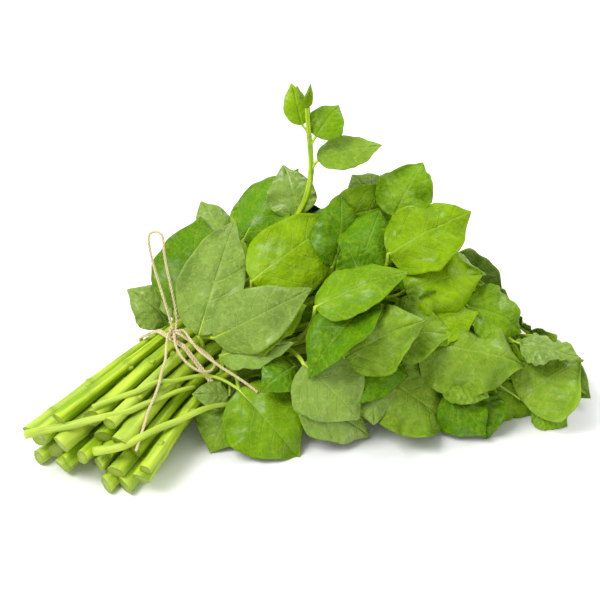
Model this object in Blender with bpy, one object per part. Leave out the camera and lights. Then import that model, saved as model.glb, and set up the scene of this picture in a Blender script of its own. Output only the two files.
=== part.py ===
"""A bunch of Malabar spinach: leafy stems cut from the vine, tied with jute twine and laid on its side.

The bunch lies on the surface z = 0, with +X to the right and +Y away from the viewer. Its cut ends point
to the near left and its shoot tips to the right. Tables are written in millimetres, and what is computed
is in metres.
"""

import math
import random

import bmesh
import bpy
from mathutils import Matrix, Vector
from mathutils.bvhtree import BVHTree

MM = 0.001
UP = Vector((0, 0, 1))
LEANING_UP = Vector((0, -0.5, 1))
TOWARDS_LIGHT = Vector((0, -0.6, 0.8))

# The middle of the bunch's base, in the frame in which the tables below were drawn up
MIDDLE = Vector((8.336, 23.32, 3.141))


def mm(x, y, z):
    """A place given in millimetres, in metres."""
    return (Vector((x, y, z)) - MIDDLE) * MM


# The sheaf of stems from the cut ends to the shoot tips: middle, half width and half height
SHEAF = (
    (mm(-118, -63, 25), 40 * MM, 17 * MM),
    (mm(-72, 6, 30), 29 * MM, 16 * MM),
    (mm(-20, 34, 47), 34 * MM, 22 * MM),
    (mm(38, 43, 52), 37 * MM, 30 * MM),
    (mm(92, 31, 42), 35 * MM, 25 * MM),
    (mm(134, 9, 27), 25 * MM, 16 * MM),
)
NECK = 1.0

# The stems stand in the neck in rows, and this is how many each row has from the lowest up
ROWS = (5, 6, 7, 4, 3)
ROW_PITCH = 9.6 * MM
CUT_RADIUS = (3.3 * MM, 5.3 * MM)
CUT_SKEW = 0.14
NECK_SHARE = 0.84
TIP_RADIUS = 1.3 * MM
STEM_END = (3.2, 4.9)
STEM_SIDES = 6
CROWN_START = 1.5
CROWN_SPANS = 6
SWAY = 2.4 * MM

# One stem of the top row leaves the sheaf and stands up behind the bunch
SPRIG_STEM = 22
SPRIG = (mm(-24, 44, 76), mm(-4, 53, 98), mm(6, 56, 126), mm(4, 62, 168))

# Leaf stalks and blades
ABOVE_NECK = 1.14
STALK_HALF_WIDTH = 1.4 * MM
RIB_HALF_THICKNESS = 0.75 * MM
EDGE_HALF_THICKNESS = 0.42 * MM
BLADE_STATIONS = (0.14, 0.42, 0.72)
CLEARANCE = 0.35 * MM
MOST_LEAVES = 7
BEST_STEMS = 5
MOST_TRIES = 900

# The mound of leaves from left to right: x, middle, half depth and height
MOUND = (
    (-95, 22, 40, 50),
    (-75, 26, 52, 66),
    (-58, 32, 64, 85),
    (-29, 41, 79, 100),
    (6, 38, 86, 108),
    (58, 44, 72, 104),
    (98, 30, 57, 74),
    (128, 20, 38, 48),
    (151, 8, 26, 30),
    (168, 4, 12, 16),
)

# The twine, its knot on top of the neck, and the routes of its two loops and two loose ends
TWINE_RADIUS = 0.8 * MM
WRAP_SPREAD = 0.7 * MM
WRAP_GAP = 0.7 * MM
WRAP_POINTS = 26
KNOT = mm(-72.4, 3.8, 53.8)
KNOT_RADII = Vector((4.6, 3.8, 3.8)) * MM
TWINE_ROUTES = {
    "twine_loop_upper": (
        mm(-74.5, 8.5, 58.5), mm(-77, 13, 66), mm(-81, 20, 77), mm(-84.6, 26, 88), mm(-86.2, 29, 96),
        mm(-86.6, 30.3, 101.8), mm(-85.4, 30.9, 104.8), mm(-82.4, 31, 106), mm(-79.4, 30.5, 104.8),
        mm(-78.2, 29.6, 101.8), mm(-78, 27.6, 95.8), mm(-76.8, 24.2, 87.5), mm(-74.5, 19, 78),
        mm(-72, 13, 67), mm(-71, 8.5, 59),
    ),
    "twine_loop_lower": (
        mm(-71.8, -0.6, 55.8), mm(-70.5, -8, 52.8), mm(-65, -14.5, 47.5), mm(-57, -17, 42.5),
        mm(-51, -14, 40.5), mm(-49, -8.5, 41.5), mm(-53, -4.5, 44.8), mm(-60.5, -2, 50), mm(-68.6, 0, 55.8),
    ),
    "twine_tail_left": (
        mm(-75.5, 0.2, 55.5), mm(-76, -8, 54), mm(-76, -17, 51.2), mm(-77.5, -25, 49), mm(-79, -33, 45),
        mm(-81, -40.5, 42), mm(-83.8, -48.5, 38.8), mm(-85.2, -56, 36.4), mm(-87.2, -63, 32.6),
        mm(-89, -70.5, 29.2),
    ),
    "twine_tail_right": (
        mm(-66.6, 3.4, 56.2), mm(-62.5, -5, 56), mm(-57.5, -11, 53), mm(-51, -15.5, 50), mm(-44, -18.5, 46),
        mm(-37, -20.5, 42), mm(-30, -23, 38), mm(-24, -26, 34.5),
    ),
}


def along(values, s):
    """The smooth curve through values, read at s, which is 0 at the first of them and 1 at the second."""
    i = max(0, min(int(s), len(values) - 2))
    t = s - i
    b, c = values[i], values[i + 1]
    a = values[i - 1] if i else 2 * b - c
    d = values[i + 2] if i + 2 < len(values) else 2 * c - b
    return 0.5 * (2 * b + (c - a) * t + (2 * a - 5 * b + 4 * c - d) * t**2 + (3 * b - a - 3 * c + d) * t**3)


def sheaf_place(station, across, up):
    """A place in the sheaf, with across and up as shares of its half width and half height there."""
    middle, width, height = SHEAF[station]
    before, after = SHEAF[max(station - 1, 0)][0], SHEAF[min(station + 1, len(SHEAF) - 1)][0]
    side = (after - before).cross(UP).normalized()
    return middle + side * (across * width) + UP * (up * height)


class Stem:
    """One stem: its course through the sheaf, its ends and its thickness."""

    def __init__(self, index, across, up, draw):
        self.index = index
        self.cut_radius = draw.uniform(*CUT_RADIUS)
        self.start = draw.uniform(-0.09, 0.1) + CUT_SKEW * across
        self.end = draw.uniform(*STEM_END)
        sway = Vector((draw.uniform(-1, 1), draw.uniform(-1, 1), draw.uniform(-1, 1))) * SWAY
        self.course = [sheaf_place(station, across, up) for station in range(len(SHEAF))]
        self.course[0] += sway
        self.used = []
        if index == SPRIG_STEM:
            self.course[2:] = SPRIG
            self.end = len(self.course) - 1

    def point(self, s):
        return along(self.course, s)

    def forward(self, s):
        return (self.point(s + 0.04) - self.point(s - 0.04)).normalized()

    def radius(self, s):
        neck = self.cut_radius * NECK_SHARE
        if s < NECK:
            return self.cut_radius + (neck - self.cut_radius) * max(0, s)
        return neck + (TIP_RADIUS - neck) * (s - NECK) / (self.end - NECK)


def make_stems():
    draw = random.Random(1271)
    stems = []
    for row, count in enumerate(ROWS):
        up = 2 * row / (len(ROWS) - 1) - 1
        for place in range(count):
            across = (place - (count - 1) / 2) * ROW_PITCH / SHEAF[1][1]
            stems.append(Stem(len(stems), across, up, draw))
    return stems


class Leaf:
    """One leaf, from where its blade begins to its tip. Turn rolls its face about that line, in degrees."""

    def __init__(
        self, base, tip, width, turn=0, bow=0.08, cup=0.15, face=TOWARDS_LIGHT, stalk=17, from_s=ABOVE_NECK
    ):
        self.base, self.tip, self.width = base, tip, width * MM
        self.bow, self.cup, self.stalk, self.from_s = bow, cup, stalk * MM, from_s
        self.face = Matrix.Rotation(math.radians(turn), 3, (tip - base).normalized()) @ face


class Blade:
    """The surface of a leaf after a nudge: lift in mm; pitch, roll and swing in degrees; and its size."""

    def __init__(self, leaf, nudge=(0, 0, 0, 0, 1)):
        lift, pitch, roll, swing, size = nudge
        run = leaf.tip - leaf.base
        forward = run.normalized()
        normal = (leaf.face - forward * leaf.face.dot(forward)).normalized()
        side = forward.cross(normal)
        turn = Matrix.Rotation(math.radians(swing), 3, normal)
        turn = turn @ Matrix.Rotation(math.radians(pitch), 3, side)
        turn = turn @ Matrix.Rotation(math.radians(roll), 3, forward)
        self.forward, self.normal, self.side = turn @ forward, turn @ normal, turn @ side
        self.base = leaf.base + normal * (lift * MM)
        self.length, self.width = run.length * size, leaf.width * size
        self.bow, self.cup = leaf.bow, leaf.cup

    def half_width(self, u):
        return self.width / 2 * math.sin(math.pi * u**0.7) ** 0.75

    def drop(self, u, v):
        return self.cup * self.half_width(u) * abs(v) ** 1.5

    def point(self, u, v=0):
        """u runs from the base to the tip, and v from -1 at one edge to 1 at the other."""
        place = self.base + self.forward * (u * self.length) + self.side * (v * self.half_width(u))
        return place + self.normal * (self.bow * self.length * 4 * u * (1 - u) - self.drop(u, v))


def nudge_cost(nudge):
    lift, pitch, roll, swing, size = nudge
    return abs(lift) / 3 + abs(pitch) / 8 + abs(roll) / 12 + abs(swing) / 12 + (1 - size) * 20


NUDGES = sorted(
    (
        (lift, pitch, roll, swing, size)
        for lift in (0, 3, -3, 6, -6, 9)
        for pitch in (0, 8, -8, 16)
        for roll in (0, 12, -12, 24, -24)
        for swing in (0, 12, -12)
        for size in (1, 0.8)
    ),
    key=nudge_cost,
)


def stalk_bend(blade, stem, s):
    """The middle of the stalk, which leaves the stem along it and then turns to the blade."""
    root = stem.point(s)
    reach = blade.base - root
    corner = root + stem.forward(s) * (reach.length * 0.3) + reach * 0.3
    return root * 0.25 + corner * 0.5 + blade.base * 0.25


def turned_to(ahead, blade):
    """The directions across and out of the leaf's face, turned so that both are square to ahead."""
    side = ahead.cross(blade.normal)
    if side.length < 0.2 * ahead.length or side.dot(blade.side) < 0:
        side = blade.side - ahead * (blade.side.dot(ahead) / ahead.length_squared)
    side.normalize()
    return side, side.cross(ahead).normalized()


def leaf_rings(blade, stem, s, pad):
    """The leaf's cross-sections from inside its stem to its tip.

    Each is its middle, the directions across and out of its face, and its half width, rib, edge and drop.
    """
    slim = min(STALK_HALF_WIDTH, 0.6 * stem.radius(s), 0.07 * blade.width)
    flat = slim * 0.5
    root, bend = stem.point(s), stalk_bend(blade, stem, s)
    flush = blade.side, blade.normal
    rings = [
        (root, turned_to(bend - root, blade), slim + pad, slim + pad, flat + pad, 0),
        (bend, turned_to(blade.base - root, blade), slim + pad, slim + pad, flat + pad, 0),
        (blade.base, flush, slim * 1.4 + pad, slim + pad, flat + pad, 0),
    ]
    for u in BLADE_STATIONS:
        half, rib = blade.half_width(u) + pad, RIB_HALF_THICKNESS * (1 - 0.4 * u) + pad
        rings.append((blade.point(u), flush, half, rib, EDGE_HALF_THICKNESS + pad, blade.drop(u, 1)))
    return rings


def leaf_shape(blade, stem, s, pad=0, skip=0):
    """The leaf's vertices and faces, with its upper and lower faces split into triangles alike."""
    points, faces = [], []
    for middle, (side, normal), half, rib, edge, drop in leaf_rings(blade, stem, s, pad)[skip:]:
        for face in (1, -1):
            points.append(middle - side * half + normal * (face * edge - drop))
            points.append(middle + normal * (face * rib))
            points.append(middle + side * half + normal * (face * edge - drop))
    last, tip = len(points) - 6, len(points)
    end = blade.point(1) + blade.forward * pad
    for face in (1, -1):
        points.append(end + blade.normal * (face * (EDGE_HALF_THICKNESS + pad)))
    faces += [(0, 3, 4), (0, 4, 1), (1, 4, 5), (1, 5, 2)]
    for a in range(0, last, 6):
        b = a + 6
        faces += [(a, a + 1, b + 1), (a, b + 1, b), (a + 1, a + 2, b + 1), (a + 2, b + 2, b + 1)]
        faces += [(a + 4, a + 3, b + 4), (a + 3, b + 3, b + 4), (a + 5, a + 4, b + 4), (a + 5, b + 4, b + 5)]
        faces += [(a, b, b + 3), (a, b + 3, a + 3), (b + 2, a + 2, b + 5), (a + 2, a + 5, b + 5)]
    faces += [(last, last + 1, tip), (last + 1, last + 2, tip)]
    faces += [(last + 4, last + 3, tip + 1), (last + 5, last + 4, tip + 1)]
    faces += [(last, tip, tip + 1), (last, tip + 1, last + 3)]
    faces += [(tip, last + 2, tip + 1), (tip + 1, last + 2, last + 5)]
    return points, faces


def tube(points, radii, sides, closed=False):
    """A round tube along points, with flat ends or joined up into a ring."""
    count = len(points)
    rings, faces = [], []
    for i, centre in enumerate(points):
        if closed:
            ahead = points[(i + 1) % count] - points[i - 1]
            across = centre - sum(points, Vector()) / count
        else:
            ahead = points[min(i + 1, count - 1)] - points[max(i - 1, 0)]
            across = LEANING_UP
        side = ahead.cross(across).normalized()
        top = side.cross(ahead).normalized()
        for k in range(sides):
            angle = 2 * math.pi * (k + 0.5) / sides
            rings.append(centre + (side * math.cos(angle) + top * math.sin(angle)) * radii[i])
    for i in range(count if closed else count - 1):
        for k in range(sides):
            a, b = i * sides + k, i * sides + (k + 1) % sides
            c, d = (a + sides) % len(rings), (b + sides) % len(rings)
            faces += [(a, c, d), (a, d, b)]
    if not closed:
        faces.append(tuple(range(sides)))
        faces.append(tuple(range(len(rings) - 1, len(rings) - 1 - sides, -1)))
    return rings, faces


def stem_shape(stem, pad=0):
    spots = [stem.start, 0.5, NECK]
    spots += [CROWN_START + (stem.end - CROWN_START) * i / CROWN_SPANS for i in range(CROWN_SPANS + 1)]
    return tube([stem.point(s) for s in spots], [stem.radius(s) + pad for s in spots], STEM_SIDES)


def crossing(stem, ahead, offset):
    """Where the stem meets the plane across the neck that lies offset ahead of the neck's middle."""
    low, high = NECK - 0.4, NECK + 0.4
    for _ in range(24):
        s = (low + high) / 2
        if (stem.point(s) - SHEAF[1][0]).dot(ahead) < offset:
            low = s
        else:
            high = s
    return stem.point(s), stem.radius(s) * 1.12


def wrap_points(stems, offset):
    """One turn of twine drawn tight round the stems, in the plane offset ahead of the neck's middle."""
    ahead = (SHEAF[2][0] - SHEAF[0][0]).normalized()
    side = ahead.cross(UP).normalized()
    top = side.cross(ahead)
    cut = [crossing(stem, ahead, offset) for stem in stems]
    turn = []
    for k in range(WRAP_POINTS):
        angle = 2 * math.pi * k / WRAP_POINTS
        out = side * math.cos(angle) + top * math.sin(angle)
        middle, radius = max(cut, key=lambda spot: spot[0].dot(out) + spot[1])
        turn.append(middle + out * (radius + WRAP_GAP + TWINE_RADIUS))
    return turn


def wrap_shapes(stems):
    radii = [TWINE_RADIUS] * WRAP_POINTS
    turns = [wrap_points(stems, offset) for offset in (-WRAP_SPREAD, WRAP_SPREAD)]
    return [tube(turn, radii, STEM_SIDES, closed=True) for turn in turns]


def twine_points(route):
    """Two points for each stretch between the route's own points, on a smooth curve."""
    return [along(route, i / 2) for i in range(2 * len(route) - 1)]


class Pile:
    """What has been laid so far, so that what comes next can be tested against it."""

    def __init__(self):
        self.laid = []

    def add(self, owner, shape):
        low, high = corners(shape[0])
        self.laid.append((owner, BVHTree.FromPolygons(*shape), low, high))

    def is_clear(self, shape, leaving_out=None, only=None):
        low, high = corners(shape[0])
        tree = BVHTree.FromPolygons(*shape)
        for owner, other, other_low, other_high in self.laid:
            if owner == leaving_out or only is not None and owner != only:
                continue
            if any(low[k] > other_high[k] or high[k] < other_low[k] for k in range(3)):
                continue
            if tree.overlap(other):
                return False
        return True


def crosses_itself(shape):
    """Whether two faces of the shape that share no corner meet."""
    points, faces = shape
    tree = BVHTree.FromPolygons(points, faces)
    return any(not set(faces[i]) & set(faces[j]) for i, j in tree.overlap(tree))


def corners(points):
    return [min(p[k] for p in points) for k in range(3)], [max(p[k] for p in points) for k in range(3)]


def growing_places(leaf, stems):
    """The best place to grow from on each of the best stems, as (stem, s)."""
    found = []
    for stem in stems:
        if len(stem.used) >= MOST_LEAVES:
            continue
        last = stem.end - 0.02 if leaf.from_s > NECK else NECK - 0.2
        spots = [leaf.from_s + 0.08 * i for i in range(int((last - leaf.from_s) / 0.08) + 1)]
        costs = []
        for s in spots:
            gap = leaf.base - stem.point(s)
            straight = gap.normalized().dot(stem.forward(s))
            crowd = sum(abs(s - other) < 0.13 for other in stem.used)
            costs.append(abs(gap.length - leaf.stalk) + ((1 - straight) * 14 + crowd * 12) * MM)
        best = min(range(len(spots)), key=lambda i: costs[i])
        found.append((costs[best] + len(stem.used) * MM, stem, spots[best]))
    return [(stem, s) for _, stem, s in sorted(found, key=lambda place: place[0])[:BEST_STEMS]]


def tries(leaf, stems):
    """Every way to lay the leaf, the least bent first, as (stem, s, nudge)."""
    places = growing_places(leaf, stems)
    ranks = range(len(places))
    ways = [(nudge_cost(nudge) + rank, rank, i) for rank in ranks for i, nudge in enumerate(NUDGES)]
    for _, rank, i in sorted(ways)[:MOST_TRIES]:
        yield *places[rank], NUDGES[i]


def lay_leaf(leaf, stems, pile):
    """Bends the leaf clear of everything laid before it, and gives its stem, s and blade, or None."""
    for stem, s, nudge in tries(leaf, stems):
        blade = Blade(leaf, nudge)
        whole = leaf_shape(blade, stem, s, CLEARANCE)
        if min(p.z for p in whole[0]) < 0 or not pile.is_clear(whole, leaving_out=stem.index):
            continue
        if crosses_itself(leaf_shape(blade, stem, s)):
            continue
        if pile.is_clear(leaf_shape(blade, stem, s, CLEARANCE, skip=2), only=stem.index):
            pile.add(None, leaf_shape(blade, stem, s))
            stem.used.append(s)
            return stem, s, blade
    return None


def shown_leaves():
    """The leaves on the near side of the bunch, each laid by hand, from the neck to the shoot tips."""
    neck = [
        Leaf(mm(-59, 0, 54), mm(-38, 54, 98), 33, turn=4, cup=-0.1),
        Leaf(mm(-49, -6, 58), mm(6, -6, 92), 32, turn=8, bow=0.12),
        Leaf(mm(-28, 15, 84), mm(15, 57, 111), 40, turn=6),
        Leaf(mm(-62, 20, 56), mm(-60, 66, 96), 42, turn=-8),
        Leaf(mm(-34, 52, 86), mm(7, 82, 114), 34, turn=-12),
        Leaf(mm(-46, -9, 49), mm(-4, -25, 57), 22, turn=-8, bow=0.04),
        Leaf(mm(-78, 22, 46), mm(-98, 44, 55), 26, turn=10),
        Leaf(mm(-74, 20, 54), mm(-82, 50, 84), 20, turn=0),
        Leaf(mm(-45, 60, 82), mm(-60, 83, 95), 20),
        Leaf(mm(-26, 62, 90), mm(-35, 76, 105), 24),
        Leaf(mm(0, 60, 98), mm(-10, 84, 117), 26),
    ]
    heart = [
        Leaf(mm(43, -3, 82), mm(4, -34, 52), 34, turn=22, bow=0.1, cup=-0.3),
        Leaf(mm(25, -21, 56), mm(66, -6, 80), 38, turn=0, bow=0.1),
        Leaf(mm(10, -6, 74), mm(62, 6, 90), 30, turn=-14, bow=0.05),
        Leaf(mm(2, -25, 54), mm(34, -40, 26), 40, turn=0, bow=0.05),
        Leaf(mm(0, -24, 47), mm(-22, -32, 40), 22, turn=0),
        Leaf(mm(20, 20, 90), mm(23, 60, 106), 30, turn=0),
        Leaf(mm(35, 9, 88), mm(25, 20, 106), 20, turn=0),
        Leaf(mm(34, 18, 94), mm(46, 50, 108), 32, turn=0),
    ]
    top = [
        Leaf(mm(50, 20, 98), mm(98, 41, 113), 38, turn=0, cup=-0.1),
        Leaf(mm(54, 44, 108), mm(72, 72, 128), 30, turn=0),
        Leaf(mm(16, 46, 108), mm(72, 56, 118), 26, turn=55),
        Leaf(mm(44, 64, 108), mm(31, 78, 118), 22, turn=0),
    ]
    right = [
        Leaf(mm(128, -12, 18), mm(163, 1, 38), 44, turn=0, bow=0.12, cup=-0.2),
        Leaf(mm(68, -8, 54), mm(129, 2, 46), 46, turn=0, bow=0.1),
        Leaf(mm(60, 8, 81), mm(104, 26, 78), 38, turn=0),
        Leaf(mm(65, 0, 63), mm(102, 9, 64), 32, turn=0),
        Leaf(mm(42, -17, 42), mm(42, -34, 17), 28, turn=0),
        Leaf(mm(50, -17, 38), mm(90, -30, 11), 42, turn=0),
        Leaf(mm(84, -16, 26), mm(106, -33, 8), 26, turn=0),
        Leaf(mm(102, -14, 24), mm(108, -32, 4), 24, turn=0),
        Leaf(mm(80, -14, 33), mm(107, -21, 25), 22, turn=0),
        Leaf(mm(107, -11, 30), mm(143, -19, 7), 30, turn=0),
        Leaf(mm(137, -11, 14), mm(156, -21, 5), 20, turn=0),
    ]
    floor = [
        Leaf(mm(-35, -22, 33), mm(0, -50, 5), 42, turn=0, bow=0.1),
        Leaf(mm(0, -30, 32), mm(42, -34, 9), 30, turn=0),
        Leaf(mm(-39, -24, 24), mm(-51, -44, 5), 26, turn=0),
        Leaf(mm(-42, -20, 26), mm(-62, -27, 33), 16, turn=0),
    ]
    inner = [
        Leaf(mm(-36, -2, 58), mm(4, 0, 76), 34),
        Leaf(mm(-12, 2, 76), mm(26, 10, 92), 34),
        Leaf(mm(22, -14, 44), mm(62, -12, 46), 36),
        Leaf(mm(46, -4, 56), mm(86, -2, 54), 36),
        Leaf(mm(0, -20, 32), mm(38, -24, 24), 34),
        Leaf(mm(90, 0, 52), mm(126, 4, 40), 34),
        Leaf(mm(56, -14, 32), mm(92, -18, 26), 32),
        Leaf(mm(98, -6, 34), mm(132, -8, 24), 30),
    ]
    return neck + floor + heart + right + top + inner


def sprig_leaves():
    """The small leaves of the stem that stands up."""
    return [
        Leaf(mm(10, 56, 138), mm(47, 65, 142), 24, turn=-20, stalk=5),
        Leaf(mm(9, 59, 152), mm(18, 74, 167), 20, turn=0, stalk=5),
        Leaf(mm(1, 62, 158), mm(-5, 74, 178), 13, turn=0, stalk=4),
    ]


def mound_place(x, angle):
    """A place on the mound of leaves. Angle runs from 0 at its far edge over its top to 180 nearest."""
    after = next(i for i, row in enumerate(MOUND) if row[0] >= x or row is MOUND[-1])
    before = MOUND[max(after - 1, 0)]
    share = (x - before[0]) / max(MOUND[after][0] - before[0], 1)
    middle, depth, height = (p + (q - p) * share for p, q in zip(before[1:], MOUND[after][1:]))
    turn = math.radians(angle)
    return mm(x, middle + depth * math.cos(turn), max(height * math.sin(turn), 3))


def shoot_leaves(stem, draw):
    """The young leaf at the end of a shoot."""
    ahead = stem.forward(stem.end - 0.05)
    out = (stem.course[3] - SHEAF[3][0]).normalized() + UP * 0.5
    base = stem.point(stem.end) + ahead * 5 * MM + out * 2 * MM
    tip = base + ahead * draw.uniform(28, 40) * MM + out * draw.uniform(-6, 8) * MM
    width, turn = draw.uniform(20, 26), draw.uniform(-25, 25)
    return [Leaf(base, tip, width, turn, face=out, stalk=6, from_s=stem.end - 0.2)]


def cover_leaves():
    """The leaves that fill the mound's far side, its top and the gaps of its near side, by a rule."""
    draw = random.Random(11)
    leaves = []
    rings = [(x, (7, 31, 56)) for x in range(-52, 116, 21)]
    rings += [(x, (84, 110, 130, 173)) for x in range(-18, 130, 24)]
    for ring, (x, angles) in enumerate(rings):
        for step, angle in enumerate(angles):
            start = x + (11 if (ring + step) % 2 else 0) + draw.uniform(-4, 4)
            turn = angle + draw.uniform(-7, 7)
            length = draw.uniform(46, 62) * (1 if x < 95 else 0.75)
            end = min(start + length * 0.72, 164)
            axis = along([row[0] for row in SHEAF], 1 + 4 * min(max((start + 72) / 206, 0), 1))
            outer = mound_place(start, turn)
            base = axis + (outer - axis) * (0.72 if angle <= 90 else 0.62)
            tip = mound_place(end, turn + draw.uniform(-8, 8))
            if angle > 90:
                tip = axis + (tip - axis) * 0.9
            face = (base + tip) / 2 - axis
            width = draw.uniform(0.62, 0.74) * length
            leaves.append(Leaf(base, tip, width, draw.uniform(-20, 20), face=face))
    return leaves


def make_object(name, shape, material):
    points, faces = shape
    mesh = bpy.data.meshes.new(name)
    mesh.from_pydata([tuple(p) for p in points], [], faces)
    mesh.materials.append(material)
    made = bpy.data.objects.new(name, mesh)
    bpy.context.scene.collection.objects.link(made)
    return made


def join(body, shapes, material):
    """Unites the body with every shape, by one Boolean on a collection that holds them."""
    if not shapes:
        return
    pieces = bpy.data.collections.new(f"{body.name}_pieces")
    bpy.context.scene.collection.children.link(pieces)
    for number, shape in enumerate(shapes):
        piece = make_object(f"{body.name}_piece_{number}", shape, material)
        bpy.context.scene.collection.objects.unlink(piece)
        pieces.objects.link(piece)
    union = body.modifiers.new("union", "BOOLEAN")
    union.operation = "UNION"
    union.operand_type = "COLLECTION"
    union.collection = pieces
    union.solver = "EXACT"
    bpy.context.view_layer.update()
    joined = bpy.data.meshes.new_from_object(body.evaluated_get(bpy.context.evaluated_depsgraph_get()))
    body.modifiers.clear()
    body.data = joined
    for piece in list(pieces.objects):
        bpy.data.objects.remove(piece)
    bpy.data.collections.remove(pieces)


def knot_shape():
    ball = bmesh.new()
    bmesh.ops.create_icosphere(ball, subdivisions=2, radius=1)
    points = [KNOT + Vector(a * b for a, b in zip(vertex.co, KNOT_RADII)) for vertex in ball.verts]
    ball.verts.index_update()
    faces = [tuple(vertex.index for vertex in face.verts) for face in ball.faces]
    ball.free()
    return points, faces


def make_twine(name, route, material):
    curve = bpy.data.curves.new(name, "CURVE")
    curve.dimensions = "3D"
    curve.bevel_depth = TWINE_RADIUS
    curve.bevel_resolution = 2
    curve.use_fill_caps = True
    places = twine_points(route)
    spline = curve.splines.new("POLY")
    spline.points.add(len(places) - 1)
    for spot, place in zip(spline.points, places):
        spot.co = (*place, 1)
    curve.materials.append(material)
    made = bpy.data.objects.new(name, curve)
    bpy.context.scene.collection.objects.link(made)
    return made


def make_material(name, colour, roughness):
    material = bpy.data.materials.new(name)
    material.use_nodes = True
    shader = material.node_tree.nodes["Principled BSDF"]
    shader.inputs["Base Color"].default_value = (*colour, 1)
    shader.inputs["Roughness"].default_value = roughness
    shader.inputs["Metallic"].default_value = 0
    return material


def lay_out():
    """Decides where everything lies: the stems and, for each, its leaves as (s, blade)."""
    stems = make_stems()
    pile = Pile()
    for stem in stems:
        pile.add(stem.index, stem_shape(stem))
    for shape in wrap_shapes(stems) + [knot_shape()]:
        pile.add(None, shape)
    for route in TWINE_ROUTES.values():
        points = twine_points(route)
        pile.add(None, tube(points, [TWINE_RADIUS] * len(points), STEM_SIDES))
    grown = {stem.index: [] for stem in stems}
    draw = random.Random(7)
    beds = [(sprig_leaves(), [stems[SPRIG_STEM]]), (shown_leaves(), stems)]
    beds += [(shoot_leaves(stem, draw), [stem]) for stem in stems if stem.index != SPRIG_STEM]
    beds += [(cover_leaves(), stems)]
    for leaves, growers in beds:
        for leaf in leaves:
            laid = lay_leaf(leaf, growers, pile)
            if laid:
                stem, s, blade = laid
                grown[stem.index].append((s, blade))
    return stems, grown


def main():
    for old in list(bpy.data.objects):
        bpy.data.objects.remove(old)
    green = make_material("spinach_green", (0.18, 0.38, 0.03), 0.45)
    jute = make_material("jute_twine", (0.60, 0.49, 0.30), 0.9)
    stems, grown = lay_out()
    for stem in stems:
        body = make_object(f"leafy_stem_{stem.index + 1:02d}", stem_shape(stem), green)
        join(body, [leaf_shape(blade, stem, s) for s, blade in grown[stem.index]], green)
    first, second = wrap_shapes(stems)
    join(make_object("twine_tie", first, jute), [second, knot_shape()], jute)
    for name, route in TWINE_ROUTES.items():
        make_twine(name, route, jute)


if __name__ == "__main__":
    main()
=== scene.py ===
# %% [markdown]
# # A bunch of Malabar spinach
# Malabar spinach is a vine with thick glossy leaves, sold as a bunch of shoots that are cut to one length
# and tied at the neck with jute twine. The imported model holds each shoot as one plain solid, so this
# lesson keeps every place and size from it and grows finer leaves and stems on the same lines.

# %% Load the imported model
import math
import random

import bmesh
import bpy
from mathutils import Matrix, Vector, noise


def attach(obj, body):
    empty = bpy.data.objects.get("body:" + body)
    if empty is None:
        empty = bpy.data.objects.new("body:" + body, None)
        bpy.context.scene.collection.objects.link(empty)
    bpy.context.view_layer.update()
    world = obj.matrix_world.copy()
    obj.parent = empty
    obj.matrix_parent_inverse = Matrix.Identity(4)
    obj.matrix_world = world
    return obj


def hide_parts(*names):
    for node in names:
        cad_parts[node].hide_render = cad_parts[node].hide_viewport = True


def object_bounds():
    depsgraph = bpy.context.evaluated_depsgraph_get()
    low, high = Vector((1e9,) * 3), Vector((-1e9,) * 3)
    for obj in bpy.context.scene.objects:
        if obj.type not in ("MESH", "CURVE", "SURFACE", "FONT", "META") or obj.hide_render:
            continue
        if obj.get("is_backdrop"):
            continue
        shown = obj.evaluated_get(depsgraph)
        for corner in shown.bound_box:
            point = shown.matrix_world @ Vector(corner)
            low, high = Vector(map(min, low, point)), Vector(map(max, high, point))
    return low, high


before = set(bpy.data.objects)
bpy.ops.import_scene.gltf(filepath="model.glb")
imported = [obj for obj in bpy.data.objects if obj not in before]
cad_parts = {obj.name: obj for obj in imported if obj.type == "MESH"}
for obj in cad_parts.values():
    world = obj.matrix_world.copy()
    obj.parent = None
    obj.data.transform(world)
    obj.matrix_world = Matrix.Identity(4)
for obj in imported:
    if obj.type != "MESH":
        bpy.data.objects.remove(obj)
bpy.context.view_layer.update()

MM = 0.001
UP = Vector((0, 0, 1))
MIDDLE = Vector((8.336, 23.32, 3.141))


def mm(x, y, z):
    """A place in the millimetres that the bunch was drawn up in, as a place in metres in the model."""
    return (Vector((x, y, z)) - MIDDLE) * MM


def put(name, data):
    """A new object in the scene."""
    made = bpy.data.objects.new(name, data)
    bpy.context.scene.collection.objects.link(made)
    return made


# %% [markdown]
# ## The camera
# The bunch is seen from the front and from about 35 degrees above. A wide lens close by would make the
# near stems look swollen, so the lens is long and a good way off, as is usual for food.

# %% Camera
LOOK_AT = mm(0, 20, 66)
CAMERA_HEIGHT = math.radians(35)
CAMERA_DISTANCE = 0.822

lens = bpy.data.cameras.new("front_camera")
lens.lens, lens.sensor_width = 85, 36
camera = put("front_camera", lens)
away = Vector((0, -math.cos(CAMERA_HEIGHT), math.sin(CAMERA_HEIGHT)))
camera.location = LOOK_AT + away * CAMERA_DISTANCE
camera.rotation_euler = away.to_track_quat("Z", "Y").to_euler()
bpy.context.scene.camera = camera
bpy.context.scene.view_settings.view_transform = "Standard"
print("camera at", [round(c, 3) for c in camera.location])

# %% [markdown]
# ## Smooth lines and tubes
# Stems, stalks and twine are all tubes along a smooth line. Blender's curve objects could sweep them, but
# a tube made in mesh code can swell at a joint, carry a value for the shader at every corner, and be
# joined to a leaf in one mesh. The line is a Catmull-Rom curve, which passes through all its points.

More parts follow.
